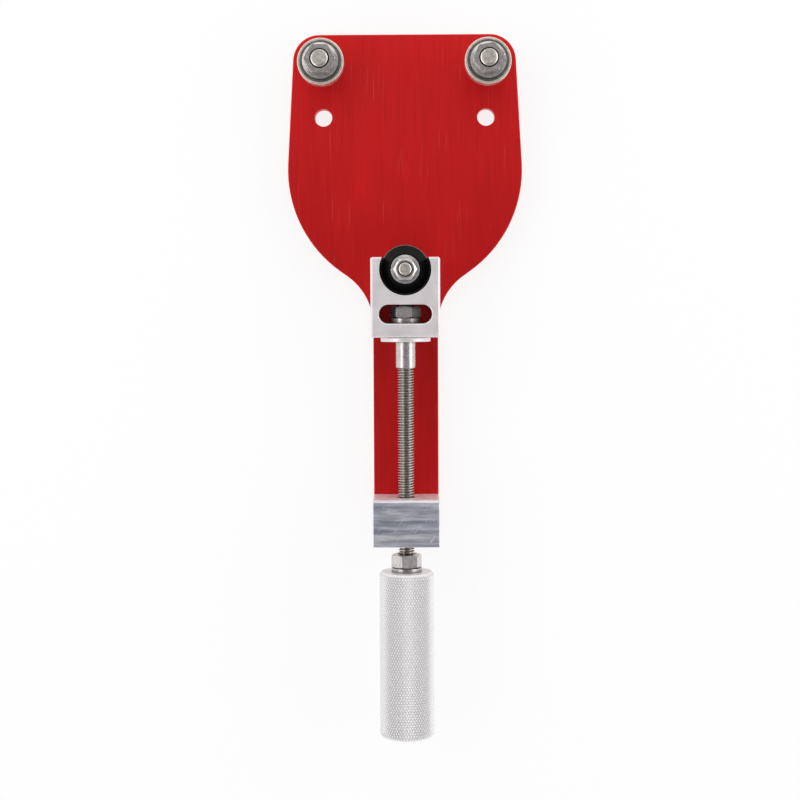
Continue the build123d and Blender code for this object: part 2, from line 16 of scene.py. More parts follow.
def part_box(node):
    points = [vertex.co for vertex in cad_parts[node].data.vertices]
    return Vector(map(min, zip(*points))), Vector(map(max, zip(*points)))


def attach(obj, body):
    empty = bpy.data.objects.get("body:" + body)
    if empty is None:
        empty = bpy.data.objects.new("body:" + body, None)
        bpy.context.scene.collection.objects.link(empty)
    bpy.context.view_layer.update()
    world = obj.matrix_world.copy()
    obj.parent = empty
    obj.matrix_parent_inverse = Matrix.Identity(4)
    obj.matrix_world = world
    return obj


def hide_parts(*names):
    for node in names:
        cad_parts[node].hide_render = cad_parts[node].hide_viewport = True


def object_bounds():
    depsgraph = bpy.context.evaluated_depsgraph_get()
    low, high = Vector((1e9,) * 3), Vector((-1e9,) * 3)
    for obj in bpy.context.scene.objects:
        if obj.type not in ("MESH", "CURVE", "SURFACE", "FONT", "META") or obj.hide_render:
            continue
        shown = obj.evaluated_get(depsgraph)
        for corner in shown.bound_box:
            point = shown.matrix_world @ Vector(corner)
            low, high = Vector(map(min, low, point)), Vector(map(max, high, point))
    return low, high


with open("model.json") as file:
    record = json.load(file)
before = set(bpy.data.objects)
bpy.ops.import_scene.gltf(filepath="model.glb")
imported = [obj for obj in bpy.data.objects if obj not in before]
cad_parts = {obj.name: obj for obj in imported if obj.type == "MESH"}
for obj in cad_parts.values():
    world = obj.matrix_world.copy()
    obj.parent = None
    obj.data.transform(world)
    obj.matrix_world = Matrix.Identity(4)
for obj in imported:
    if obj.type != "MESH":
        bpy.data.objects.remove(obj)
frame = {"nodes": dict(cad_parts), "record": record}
CAD_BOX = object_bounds()

MM = 0.001
NODES = frame["nodes"]

HAIR = 0.01 * MM  # less than any real step in a shape, so heights can be compared safely
WELD = 1e-7  # points nearer than this are one
SIXTH = math.pi / 3  # of a turn, between a hexagon's sides

# ---- fasteners ------------------------------------------------------------------------------

THREAD_DEPTH = 0.6134  # of an outside ISO thread, as a share of its pitch
M6 = {"radius": 3.0 * MM, "pitch": 1.0 * MM}
M8 = {"radius": 4.0 * MM, "pitch": 1.25 * MM}
CAP_HEAD = {"width": 10.0 * MM, "height": 4.0 * MM}
HEXAGON_HEAD = {"width": 13.0 * MM, "height": 5.3 * MM}


# ---- places read from the CAD frame -----------------------------------------------------------


def middle(node):
    """The centre of a node's box."""
    low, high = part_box(node)
    return (low + high) / 2


def across(node):
    """A node's size along X, Y and Z."""
    low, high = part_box(node)
    return high - low


# ---- mesh helpers -----------------------------------------------------------------------------


def smooth(mesh, sharp_deg):
    """Smooth shading, except over edges that turn by more than an angle."""
    mesh.shade_smooth()
    mesh.set_sharp_from_angle(angle=math.radians(sharp_deg))


def add_object(name, bm, body, sharp_deg):
    """Turns a bmesh into a piece that rides on a body, smooth but for its sharp edges."""
    bmesh.ops.recalc_face_normals(bm, faces=bm.faces)
    mesh = bpy.data.meshes.new(name)
    bm.to_mesh(mesh)
    bm.free()
    smooth(mesh, sharp_deg)
    piece = bpy.data.objects.new(name, mesh)
    bpy.context.scene.collection.objects.link(piece)
    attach(piece, body)
    return piece


def lay_along_y(bm, centre, low):
    """Turns what was made along +Z to +Y, and moves it to its axis and its lower end."""
    turn = Matrix.Rotation(-math.pi / 2, 4, "X")
    bm.transform(Matrix.Translation((centre.x, low.y, centre.z)) @ turn)


def new_point(bm, angle, radius, height):
    """A vertex at an angle and a distance from Z."""
    return bm.verts.new((radius * math.cos(angle), radius * math.sin(angle), height))


def ring_of(bm, radius, height, count, turn=0.0):
    """A circle of vertices round Z."""
    step = 2 * math.pi / count
    return [new_point(bm, turn + i * step, radius, height) for i in range(count)]


def bridge(bm, lower, upper):
    """Quads between two rings with the same number of vertices."""
    count = len(lower)
    for i in range(count):
        j = (i + 1) % count
        bm.faces.new((lower[i], lower[j], upper[j], upper[i]))


def mark_depth(bm, radius, depth, bottom=-math.inf, top=math.inf):
    """Stores each vertex's depth in a groove round Z: 0 on crests, 1 at roots, 0 past the ends."""
    layer = bm.verts.layers.float.new("groove")
    for v in bm.verts:
        if bottom <= v.co.z <= top:
            below = radius - math.hypot(v.co.x, v.co.y)
            v[layer] = min(max(below / depth, 0.0), 1.0)


def hexagon_reach(angle, flats):
    """From a hexagon's centre to its outline, at an angle from the middle of a side."""
    off = (angle + SIXTH / 2) % SIXTH - SIXTH / 2
    return flats / 2 / math.cos(off)


# ---- threads and heads ------------------------------------------------------------------------


def add_thread(bm, start, length, radius, pitch):
    """A closed right-hand thread from start along +Z, with a 60 degree profile and bevelled ends."""
    segments = 40
    turns_before, spare_turns = 2, 3
    half_root, half_crest = 1 / 8, 1 / 16  # of the pitch
    minor = radius - THREAD_DEPTH * pitch
    end_radius = minor - 0.05 * pitch
    profile = (
        (half_root, minor),
        (1 / 2 - half_crest, radius),
        (1 / 2 + half_crest, radius),
        (1 - half_root, minor),
    )
    corners = len(profile)
    row_count = (math.ceil(length / pitch) + spare_turns) * corners

    rows = []
    for row in range(row_count):
        share, wanted = profile[row % corners]
        column = []
        for j in range(segments):
            z = (row // corners - turns_before + share + j / segments) * pitch
            z = min(max(z, 0.0), length)
            r = min(wanted, end_radius + min(z, length - z))
            column.append(new_point(bm, 2 * math.pi * j / segments, r, start + z))
        rows.append(column)
    new_verts = [v for column in rows for v in column]

    def at(row, j):
        """A row's vertex j, which past the row's end is on the same row of the next turn."""
        return rows[row + j // segments * corners][j % segments]

    for row in range(row_count - corners - 1):
        for j in range(segments):
            bm.faces.new((at(row, j), at(row, j + 1), at(row + 1, j + 1), at(row + 1, j)))

    bmesh.ops.remove_doubles(bm, verts=new_verts, dist=WELD)
    open_edges = [e for e in bm.edges if e.is_boundary]
    bmesh.ops.holes_fill(bm, edges=open_edges, sides=0)
    loose = [v for v in bm.verts if not v.link_faces]
    bmesh.ops.delete(bm, geom=loose, context="VERTS")


def add_hexagon_head(bm, flats, seat, height):
    """A hexagon head from seat down to seat - height, its corners taken off by a cone."""
    per_side = 10
    count = 6 * per_side
    cone = math.tan(math.radians(30))
    face_radius = flats / 2 * 0.95
    inner_radius = face_radius * 0.82
    turn = SIXTH / 2
    top, bottom, rim = [], [], []
    for i in range(count):
        angle = 2 * math.pi * i / count
        radius = hexagon_reach(angle, flats)
        drop = (radius - face_radius) * cone
        top.append(new_point(bm, angle + turn, radius, seat))
        bottom.append(new_point(bm, angle + turn, radius, seat - height + drop))
        rim.append(new_point(bm, angle + turn, face_radius, seat - height))
    bm.faces.new(top)
    bridge(bm, bottom, top)
    bridge(bm, rim, bottom)
    inner = ring_of(bm, inner_radius, seat - height, count, turn)
    bridge(bm, inner, rim)
    bm.faces.new(inner)


def add_cap_head(bm, width, seat, height):
    """A low round head from seat down to seat - height, with a hexagon socket in its end."""
    count = 48
    radius = width / 2
    edge = 0.4 * MM
    socket_flats = 4.0 * MM
    socket_depth = 2.4 * MM
    top = ring_of(bm, radius, seat, count)
    side = ring_of(bm, radius, seat - height + edge, count)
    rim = ring_of(bm, radius - edge, seat - height, count)
    mouth, floor = [], []
    for i in range(count):
        angle = 2 * math.pi * i / count
        reach = hexagon_reach(angle, socket_flats)
        mouth.append(new_point(bm, angle, reach, seat - height))
        floor.append(new_point(bm, angle, reach, seat - height + socket_depth))
    bm.faces.new(top)
    bridge(bm, side, top)
    bridge(bm, rim, side)
    bridge(bm, mouth, rim)
    bridge(bm, floor, mouth)
    bm.faces.new(floor)


def make_lead_screw():
    """The rod, threaded from end to end."""
    low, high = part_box("lead_screw")
    centre = middle("lead_screw")
    radius = (high.x - low.x) / 2
    bm = bmesh.new()
    add_thread(bm, 0.0, high.y - low.y, radius, M8["pitch"])
    mark_depth(bm, radius, THREAD_DEPTH * M8["pitch"])
    lay_along_y(bm, centre, low)
    screw = add_object("lead_screw_thread", bm, "screw", sharp_deg=25)
    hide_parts("lead_screw")
    return screw


def make_bolt(node, body, thread, head, add_head):
    """A bolt, threaded all along, that stands head down."""
    low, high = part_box(node)
    centre = middle(node)
    seat = low.z + head["height"]
    overlap = 0.3 * MM
    bm = bmesh.new()
    add_head(bm, head["width"], seat, head["height"])
    add_thread(bm, seat - overlap, high.z - seat + overlap, **thread)
    mark_depth(bm, thread["radius"], THREAD_DEPTH * thread["pitch"], seat, high.z - HAIR)
    bm.transform(Matrix.Translation((centre.x, centre.y, 0)))
    bolt = add_object(node + "_threaded", bm, body, sharp_deg=25)
    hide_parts(node)
    return bolt


# ---- knurled handle ---------------------------------------------------------------------------


class Knurl:
    """A diamond knurl along +Z: two crossing sets of V grooves that leave flat-topped pyramids.

    Rows of crossings lie one above the other, each turned against the last by half a diamond. A
    pyramid stands between two neighbours in a row and the crossings just below and above.
    """

    AROUND = 62
    ROW_HEIGHT = 1.25 * MM  # before it is fitted to the handle's length
    DEPTH = 0.30 * MM
    PLATEAU = 0.28  # a flat top's width, as a share of its pyramid's
    BEVEL = 1.0 * MM
    TOOTH_DROP = 0.06 * MM  # from the flat tops to the half pyramids at the knurl's ends
    BORE_BEVEL = 0.4 * MM
    BORE_DEPTH = 3 * MM

    def __init__(self, bm, radius, length):
        self.bm = bm
        self.radius = radius
        self.length = length
        knurled = length - 2 * self.BEVEL
        self.row_count = round(knurled / self.ROW_HEIGHT)
        self.row_height = knurled / self.row_count
        self.half_step = math.pi / self.AROUND
        self.crossings = [self.row_of_crossings(k) for k in range(self.row_count + 1)]
        for k in range(1, self.row_count):
            for i in range(self.AROUND):
                self.add_pyramid(k, i)

    def height(self, k):
        return self.BEVEL + k * self.row_height

    def row_of_crossings(self, k):
        z = self.height(k)
        root = self.radius - self.DEPTH
        return [
            new_point(self.bm, (2 * i + k % 2) * self.half_step, root, z)
            for i in range(self.AROUND)
        ]

    def pyramid_corners(self, k, i):
        """A pyramid's angle, its left and right crossings, and the column of the other two."""
        turn = (2 * i + 1 + k % 2) * self.half_step
        beside = (i + k % 2) % self.AROUND
        left, right = self.crossings[k][i], self.crossings[k][(i + 1) % self.AROUND]
        return turn, left, right, beside

    def add_pyramid(self, k, i):
        """Pyramid i of row k: a flat top and four flanks."""
        turn, left, right, beside = self.pyramid_corners(k, i)
        z = self.height(k)
        wide, high = self.PLATEAU * self.half_step, self.PLATEAU * self.row_height
        corners = (left, self.crossings[k - 1][beside], right, self.crossings[k + 1][beside])
        tops = (
            new_point(self.bm, turn - wide, self.radius, z),
            new_point(self.bm, turn, self.radius, z - high),
            new_point(self.bm, turn + wide, self.radius, z),
            new_point(self.bm, turn, self.radius, z + high),
        )
        self.bm.faces.new(tops)
        for a in range(4):
            b = (a + 1) % 4
            self.bm.faces.new((corners[a], corners[b], tops[b], tops[a]))

    def end_teeth(self, k, inner_row):
        """The half pyramids of the knurl's last row, and the toothed edge they end in."""
        teeth = []
        for i in range(self.AROUND):
            turn, left, right, beside = self.pyramid_corners(k, i)
            inner = self.crossings[inner_row][beside]
            tip = new_point(self.bm, turn, self.radius - self.TOOTH_DROP, self.height(k))
            self.bm.faces.new((left, tip, inner))
            self.bm.faces.new((tip, right, inner))
            teeth += [left, tip]
        return teeth

    def close_end(self, k, inner_row, z_end, bore):
        """Bevel, turned end face and a bevelled blind hole."""
        teeth = self.end_teeth(k, inner_row)
        outward = 1 if z_end > self.length / 2 else -1
        steps = (
            (self.radius - self.BEVEL, z_end),
            (bore + self.BORE_BEVEL, z_end),
            (bore, z_end - outward * self.BORE_BEVEL),
            (bore, z_end - outward * self.BORE_DEPTH),
        )
        turn = k % 2 * self.half_step
        rings = [teeth]
        for radius, z in steps:
            rings.append(ring_of(self.bm, radius, z, 2 * self.AROUND, turn))
        for outer, inner in zip(rings, rings[1:]):
            bridge(self.bm, outer, inner)
        self.bm.faces.new(rings[-1])


def make_knurled_handle():
    """The handle, with a centre hole in its free end and the rod's bore in the other."""
    centre_hole, rod_bore = 1.6 * MM, 4.02 * MM
    low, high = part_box("handle")
    centre = middle("handle")
    radius = (high.x - low.x) / 2
    length = high.y - low.y
    bm = bmesh.new()
    knurl = Knurl(bm, radius, length)
    last = knurl.row_count
    knurl.close_end(0, 1, 0.0, centre_hole)
    knurl.close_end(last, last - 1, length, rod_bore)
    mark_depth(bm, radius, knurl.DEPTH, knurl.BEVEL - HAIR, length - knurl.BEVEL + HAIR)
    lay_along_y(bm, centre, low)
    handle = add_object("handle_knurled", bm, "screw", sharp_deg=20)
    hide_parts("handle")
    return handle


# ---- materials --------------------------------------------------------------------------------


def fill_ramp(node, stops):
    """Puts colours, or greys given as one number, at positions from 0 to 1 on a colour ramp."""
    elements = node.color_ramp.elements
    while len(elements) < len(stops):
        elements.new(0.5)
    for element, (position, colour) in zip(elements, stops):
        element.position = position
        if isinstance(colour, (int, float)):
            colour = (colour, colour, colour)
        element.color = (*colour, 1.0)


class Shader:
    """A node material with a Principled shader and short ways to add what varies over it."""

    SOCKETS = {
        "base": "Base Color",
        "metallic": "Metallic",
        "roughness": "Roughness",
        "specular": "Specular IOR Level",
        "glow": "Emission Color",
        "glow_strength": "Emission Strength",
    }
    SAMPLES = 6  # of the nodes that look at the shape around a point

    def __init__(self, name):
        self.material = bpy.data.materials.new(name)
        self.material.use_nodes = True
        self.tree = self.material.node_tree
        self.bsdf = self.tree.nodes["Principled BSDF"]
        coordinates = self.add("ShaderNodeTexCoord")
        self.place = coordinates.outputs["Object"]
        self.normal = coordinates.outputs["Normal"]

    def add(self, kind, **settings):
        node = self.tree.nodes.new(kind)
        for key, value in settings.items():
            setattr(node, key, value)
        return node

    def link(self, out, socket):
        self.tree.links.new(out, socket)

    def stretched(self, scale, rotation):
        """Object coordinates in millimetres, turned, then scaled by a factor along each axis."""
        turn = self.add("ShaderNodeMapping")
        turn.inputs["Rotation"].default_value = rotation
        self.link(self.place, turn.inputs["Vector"])
        stretch = self.add("ShaderNodeMapping")
        stretch.inputs["Scale"].default_value = [s / MM for s in scale]
        self.link(turn.outputs["Vector"], stretch.inputs["Vector"])
        return stretch.outputs["Vector"]

    def noise(self, scale, detail, rough, rotation=(0, 0, 0), distortion=0.0):
        """Noise with about scale features a millimetre along each axis."""
        node = self.add("ShaderNodeTexNoise")
        node.inputs["Scale"].default_value = 1.0
        node.inputs["Detail"].default_value = detail
        node.inputs["Roughness"].default_value = rough
        node.inputs["Distortion"].default_value = distortion
        self.link(self.stretched(scale, rotation), node.inputs["Vector"])
        return node.outputs["Fac"]

    def ramp(self, value, stops):
        """Colours or greys at positions along a value."""
        node = self.add("ShaderNodeValToRGB")
        fill_ramp(node, stops)
        self.link(value, node.inputs["Fac"])
        return node.outputs["Color"]

    def spread(self, value, low, high, at=(0.3, 0.7)):
        """A stretch of a value mapped to low..high, and held at its ends."""
        node = self.add("ShaderNodeMapRange")
        node.inputs["From Min"].default_value = at[0]
        node.inputs["From Max"].default_value = at[1]
        node.inputs["To Min"].default_value = low
        node.inputs["To Max"].default_value = high
        self.link(value, node.inputs["Value"])
        return node.outputs["Result"]

    def math(self, operation, a, b=0):
        """An operation on one or two values. Each may be a number or a socket."""
        node = self.add("ShaderNodeMath", operation=operation)
        for socket, value in zip(node.inputs, (a, b)):
            if isinstance(value, (int, float)):
                socket.default_value = value
            else:
                self.link(value, socket)
        return node.outputs["Value"]

    def times(self, *values):
        product = values[0]
        for value in values[1:]:
            product = self.math("MULTIPLY", product, value)
        return product

    def mix(self, share, a, b, blend="MIX"):
        """Colour b over colour a by a share. Each may be a constant or a socket."""
        node = self.add("ShaderNodeMix", data_type="RGBA", blend_type=blend)
        factor, colour_a, colour_b = node.inputs[0], node.inputs[6], node.inputs[7]
        if isinstance(share, (int, float)):
            factor.default_value = share
        else:
            self.link(share, factor)
        for socket, value in ((colour_a, a), (colour_b, b)):
            if isinstance(value, tuple):
                socket.default_value = (*value, 1.0)
            else:
                self.link(value, socket)
        return node.outputs[2]

    def shade(self, colour, value, stops, share=1.0):
        """A colour multiplied by the greys of a ramp along a value, by a share."""
        return self.mix(share, colour, self.ramp(value, stops), "MULTIPLY")

    def scratches(self, line, line_at, patch, patch_at):
        """1 on thin lines where there is also a patch, 0 elsewhere, each from a noise."""
        return self.times(self.spread(line, 0, 1, line_at), self.spread(patch, 0, 1, patch_at))

    def corner_shade(self, reach_mm, fully_shaded, unshaded):
        """Painted shade in corners: 1 where no more than fully_shaded of the view is open, 0 from
        unshaded on.
        """
        near = self.add("ShaderNodeAmbientOcclusion", samples=self.SAMPLES)
        near.inputs["Distance"].default_value = reach_mm * MM
        return self.spread(near.outputs["AO"], 1, 0, at=(fully_shaded, unshaded))

    def distance(self, centre):
        """How far a point is from the upright axis through a centre."""
        flat = self.add("ShaderNodeVectorMath", operation="MULTIPLY")
        flat.inputs[1].default_value = (1, 1, 0)
        away = self.add("ShaderNodeVectorMath", operation="DISTANCE")
        away.inputs[1].default_value = (centre.x, centre.y, 0)
        self.link(self.place, flat.inputs[0])
        self.link(flat.outputs["Vector"], away.inputs[0])
        return away.outputs["Value"]

    def part_along(self, vector, axis):
        split = self.add("ShaderNodeSeparateXYZ")
        self.link(vector, split.inputs[0])
        return split.outputs[axis]

    def along(self, axis):
        """A point's place along one of the object's axes."""
        return self.part_along(self.place, axis)

    def facing(self, axis):
        """How squarely the surface faces along one of the object's axes, either way."""
        return self.math("ABSOLUTE", self.part_along(self.normal, axis))

    def groove(self):
        """How deep in a thread or knurl groove a point lies, from 0 to 1."""
        return self.add("ShaderNodeAttribute", attribute_name="groove").outputs["Fac"]

    def bump(self, height, distance_mm, strength, edge_mm=None):
        """Fine relief, over edges that look rounded by edge_mm."""
        node = self.add("ShaderNodeBump")
        node.inputs["Distance"].default_value = distance_mm * MM
        node.inputs["Strength"].default_value = strength
        self.link(height, node.inputs["Height"])
        if edge_mm is not None:
            rounding = self.add("ShaderNodeBevel", samples=self.SAMPLES)
            rounding.inputs["Radius"].default_value = edge_mm * MM
            self.link(rounding.outputs["Normal"], node.inputs["Normal"])
        self.link(node.outputs["Normal"], self.bsdf.inputs["Normal"])

    def set(self, **values):
        """Constants on the Principled shader's own sockets, or sockets linked to them."""
        for key, value in values.items():
            socket = self.bsdf.inputs[self.SOCKETS[key]]
            if isinstance(value, bpy.types.NodeSocket):
                self.link(value, socket)
            elif isinstance(value, tuple):
                socket.default_value = (*value, 1.0)
            else:
                socket.default_value = value


def red_anodised():
    """Dyed aluminium: lengthwise rolling lines, cloudy colour, a few pale scratches.

    It is painted brighter towards the rollers' end, as painted light.
    """
    deep, bright = (0.53, 0.0060, 0.0070), (0.67, 0.0085, 0.0095)
    painted_light_red = (0.86, 0.016, 0.017)
    scratched = (0.85, 0.13, 0.12)
    painted_light_along = (60 * MM, 165 * MM)

    s = Shader("red_anodised_look")
    lines = s.noise(scale=(3.2, 0.035, 3.2), detail=4, rough=0.6)
    clouds = s.noise(scale=(0.022, 0.014, 0.022), detail=3, rough=0.5)
    colour = s.ramp(clouds, ((0.3, deep), (0.7, bright)))
    # painted light: the red grows brighter towards the rollers' end
    colour = s.mix(s.spread(s.along("Y"), 0, 0.6, at=painted_light_along), colour, painted_light_red)
    colour = s.shade(colour, lines, ((0.32, 0.88), (0.68, 1.06)))
    thin = s.noise(scale=(2.1, 0.03, 2.1), detail=1, rough=0.3)
    where = s.noise(scale=(0.055, 0.045, 0.055), detail=1, rough=0.3)
    scratch = s.scratches(thin, (0.68, 0.76), where, (0.50, 0.62))
    colour = s.mix(s.times(scratch, 0.5), colour, scratched)
    s.set(base=colour, metallic=0.60, roughness=s.spread(lines, 0.36, 0.46), specular=0.4)
    s.bump(lines, distance_mm=0.012, strength=0.5, edge_mm=0.2)
    return s.material


def sawn_aluminium():
    """Bare bar: bands and lines across it from the saw, and a few handling scratches.

    The faces that look along Y are milled, with even lines, and tinted pink as a painted reflection
    of the red plate. Those that look along X keep the bar's drawn skin, with lines along Y.
    """
    dark, grey, pale = (0.42, 0.44, 0.53), (0.74, 0.75, 0.87), (0.97, 0.97, 1.0)
    milled_reflection_dark, milled_reflection_pale = (0.66, 0.58, 0.58), (1.0, 0.95, 0.95)
    drawn_dark, drawn_pale = (0.60, 0.61, 0.64), (0.80, 0.80, 0.83)
    scratched = (1.0, 1.0, 1.0)
    squarely = (0.55, 0.95)

    s = Shader("sawn_aluminium_look")
    bands = s.noise(scale=(0.015, 0.30, 0.30), detail=2, rough=0.5, distortion=0.3)
    lines = s.noise(scale=(0.07, 2.6, 2.6), detail=5, rough=0.7)
    patches = s.noise(scale=(0.10, 0.45, 0.45), detail=3, rough=0.6)
    tone = s.ramp(bands, ((0.30, dark), (0.50, grey), (0.70, pale)))
    tone = s.shade(tone, lines, ((0.32, 0.66), (0.68, 1.12)))
    tone = s.shade(tone, patches, ((0.35, 0.80), (0.65, 1.08)), share=0.7)

    slant = (0, 0, math.radians(32))
    thin = s.noise(scale=(2.2, 0.10, 2.2), detail=1, rough=0.3, rotation=slant)
    where = s.noise(scale=(0.14, 0.14, 0.14), detail=1, rough=0.3)
    scratch = s.scratches(thin, (0.66, 0.72), where, (0.46, 0.56))
    tone = s.mix(s.times(scratch, 0.8), tone, scratched)

    milled = s.spread(s.facing("Y"), 0, 1, at=squarely)
    # painted reflection: the faces along Y take a pink tint of the red plate over their milled lines
    tone = s.mix(milled, tone, s.ramp(lines, ((0.35, milled_reflection_dark), (0.65, milled_reflection_pale))))
    drawn = s.noise(scale=(2.6, 0.04, 2.6), detail=4, rough=0.6)
    skin = s.spread(s.facing("X"), 0, 1, at=squarely)
    tone = s.mix(skin, tone, s.ramp(drawn, ((0.35, drawn_dark), (0.65, drawn_pale))))

    metallic = s.spread(milled, 0.85, 0.40, at=(0, 1))
    s.set(base=tone, metallic=metallic, roughness=s.spread(patches, 0.26, 0.42))
    s.bump(s.math("ADD", lines, s.times(bands, 0.8)), distance_mm=0.02, strength=0.6, edge_mm=0.15)
    return s.material


def satin_aluminium(cutter_centre, shade_radius, floor, front):
    """Bead-blasted block: even fine grain, faint warm clouds, and painted shade in the cutter's
    pocket.

    The painted shade ends just outside the pocket's wall, just under its floor and a little short
    of the block's front.
    """
    dark, pale = (0.81, 0.77, 0.78), (0.88, 0.84, 0.85)
    shade_black = (0.012, 0.011, 0.010)

    s = Shader("satin_aluminium_look")
    grain = s.noise(scale=(7.0, 7.0, 7.0), detail=2, rough=0.6)
    clouds = s.noise(scale=(0.12, 0.12, 0.12), detail=3, rough=0.5)
    colour = s.ramp(clouds, ((0.3, dark), (0.7, pale)))
    colour = s.shade(colour, grain, ((0.3, 0.92), (0.7, 1.03)), share=0.5)

    # painted shade: the pocket round the cutter is painted nearly black, where shadow falls
    wall_at = (shade_radius, shade_radius + 0.15 * MM)
    front_at = (front - 0.9 * MM, front - 0.3 * MM)
    floor_at = (floor - 0.3 * MM, floor - 0.1 * MM)
    inside = s.spread(s.distance(cutter_centre), 1, 0, at=wall_at)
    below = s.spread(s.along("Z"), 1, 0, at=front_at)
    above = s.spread(s.along("Z"), 0, 1, at=floor_at)
    colour = s.mix(s.times(inside, below, above, 0.93), colour, shade_black)

    s.set(base=colour, metallic=0.68, roughness=s.spread(clouds, 0.40, 0.50), specular=0.4)
    s.bump(grain, distance_mm=0.012, strength=0.5, edge_mm=0.15)
    return s.material


def knurled_aluminium():
    """Bare rolled knurl: bright peaks, darker grooves."""
    dark, pale = (0.82, 0.80, 0.805), (0.90, 0.88, 0.885)
    s = Shader("knurled_aluminium_look")
    rolled = s.noise(scale=(1.8, 1.8, 1.8), detail=3, rough=0.6)
    turned = s.noise(scale=(0.4, 6.0, 0.4), detail=2, rough=0.5)
    colour = s.ramp(rolled, ((0.3, dark), (0.7, pale)))
    colour = s.shade(colour, s.groove(), ((0.15, 1.0), (0.95, 0.76)))
    s.set(base=colour, metallic=0.55, roughness=s.spread(rolled, 0.38, 0.50), specular=0.3)
    s.bump(turned, distance_mm=0.004, strength=0.4)
    return s.material


def steel(
    name, dark, bright, rough, tool_scale,
    edge_mm=0.1, metallic=1.0, root=None, corner=(1.6, 0.35, 0.9), shade_strength=0.75,
):
    """Plated, turned or pressed metal: cloudy tone, fine tool lines, and painted shade in its
    corners.

    rough is the range of roughness, and root the colour at the roots of a thread. corner holds
    what corner_shade takes, and shade_strength is how strongly the painted shade darkens the metal.
    """
    shade_black = (0.05, 0.045, 0.04)
    s = Shader(name)
    clouds = s.noise(scale=(0.5, 0.5, 0.5), detail=3, rough=0.6)
    tool = s.noise(scale=tool_scale, detail=3, rough=0.6)
    colour = s.ramp(clouds, ((0.3, dark), (0.7, bright)))
    colour = s.shade(colour, tool, ((0.3, 0.88), (0.7, 1.06)), share=0.6)
    if root is not None:
        colour = s.mix(s.spread(s.groove(), 0, 1, at=(0.10, 0.80)), colour, root)
    # painted shade: the metal is darkened in its corners, where ambient occlusion is high
    colour = s.mix(s.times(s.corner_shade(*corner), shade_strength), colour, shade_black)
    s.set(base=colour, metallic=metallic, roughness=s.spread(clouds, *rough))
    s.bump(tool, distance_mm=0.006, strength=0.4, edge_mm=edge_mm)
    return s.material


def zinc_steel():
    """Bright plated nuts, washers and spacers, with painted shade in their corners."""
    return steel(
        "zinc_steel_look", dark=(0.54, 0.52, 0.51), bright=(0.74, 0.715, 0.70),
        rough=(0.15, 0.27), tool_scale=(3, 3, 3),
        edge_mm=0.2, metallic=0.96, corner=(4.0, 0.45, 0.88), shade_strength=0.92,
    )


def stainless():
    """Turned stainless steel, with lines round its axis along Y."""
    return steel(
        "stainless_look", dark=(0.50, 0.465, 0.455), bright=(0.66, 0.62, 0.605),
        rough=(0.20, 0.32), tool_scale=(0.6, 5, 0.6), edge_mm=0.12,
    )


def threaded_stainless():
    """Stainless steel with bright crests and warm, darker roots."""
    return steel(
        "threaded_stainless_look", dark=(0.74, 0.68, 0.62), bright=(0.92, 0.86, 0.79),
        rough=(0.24, 0.36), tool_scale=(3, 3, 3), edge_mm=None, root=(0.44, 0.395, 0.355),
    )


def bearing_steel():
    """Ground, slightly warm bearing steel, with lines round its upright axis."""
    return steel(
        "bearing_steel_look", dark=(0.76, 0.68, 0.60), bright=(0.90, 0.82, 0.73),
        rough=(0.22, 0.34), tool_scale=(0.6, 0.6, 6), edge_mm=0.3, metallic=0.75,
    )


def shield_steel():
    """Dark, greenish pressed shields."""
    return steel(
        "shield_steel_look", dark=(0.16, 0.18, 0.155), bright=(0.27, 0.285, 0.26),
        rough=(0.30, 0.42), tool_scale=(3, 3, 3),
    )


def bronze():
    """Turned bronze, with lines round its upright axis."""
    return steel(
        "bronze_look", dark=(0.42, 0.26, 0.11), bright=(0.58, 0.38, 0.18),
        rough=(0.30, 0.42), tool_scale=(1, 1, 6),
    )


def black_oxide(centre, edge_radius):
    """Blackened tool steel under a film of oil. Its cutting edge is lighter: partly worn bright,
    partly a painted highlight.
    """
    dark, pale = (0.006, 0.0065, 0.006), (0.014, 0.015, 0.014)
    worn_glint_grey = (0.42, 0.41, 0.40)
    worn_glint_at = (edge_radius - 0.45 * MM, edge_radius - 0.12 * MM)
    s = Shader("black_oxide_look")
    mottle = s.noise(scale=(0.9, 0.9, 0.9), detail=4, rough=0.6)
    colour = s.ramp(mottle, ((0.3, dark), (0.7, pale)))
    # lighter ring along the cutting edge: partly wear, partly a painted highlight of its glint
    worn_glint = s.spread(s.distance(centre), 0, 1, at=worn_glint_at)
    colour = s.mix(s.times(worn_glint, 0.30), colour, worn_glint_grey)
    s.set(base=colour, metallic=0.70, roughness=s.spread(mottle, 0.34, 0.46), specular=0.25)
    s.bump(mottle, distance_mm=0.01, strength=0.4, edge_mm=0.08)
    return s.material


def cage_nylon():
    """Cream moulded nylon."""
    dark, pale = (0.60, 0.53, 0.40), (0.70, 0.63, 0.50)
    s = Shader("cage_nylon_look")
    mottle = s.noise(scale=(2, 2, 2), detail=2, rough=0.5)
    colour = s.ramp(mottle, ((0.3, dark), (0.7, pale)))
    s.set(base=colour, metallic=0.0, roughness=s.spread(mottle, 0.42, 0.55))
    s.bump(mottle, distance_mm=0.01, strength=0.3)
    return s.material


def paint(piece, material):
    """Gives a piece or a CAD node one material."""
    piece.data.materials.clear()
    piece.data.materials.append(material)


# ---- make the pieces --------------------------------------------------------------------------

lead_screw = make_lead_screw()
handle = make_knurled_handle()
bolts = [make_bolt("cutter_bolt", "carriage", M6, CAP_HEAD, add_cap_head)]
for side in ("left", "right"):
    node = f"{side}_roller_bolt"
    bolts.append(make_bolt(node, "plate_frame", M8, HEXAGON_HEAD, add_hexagon_head))

# ---- paint everything -------------------------------------------------------------------------

POCKET_SHADE_REACH = 0.75 * MM  # how far the pocket's painted shade reaches past the wheel's edge, which takes in the pocket's wall
CAD_SHARP_DEG = 28

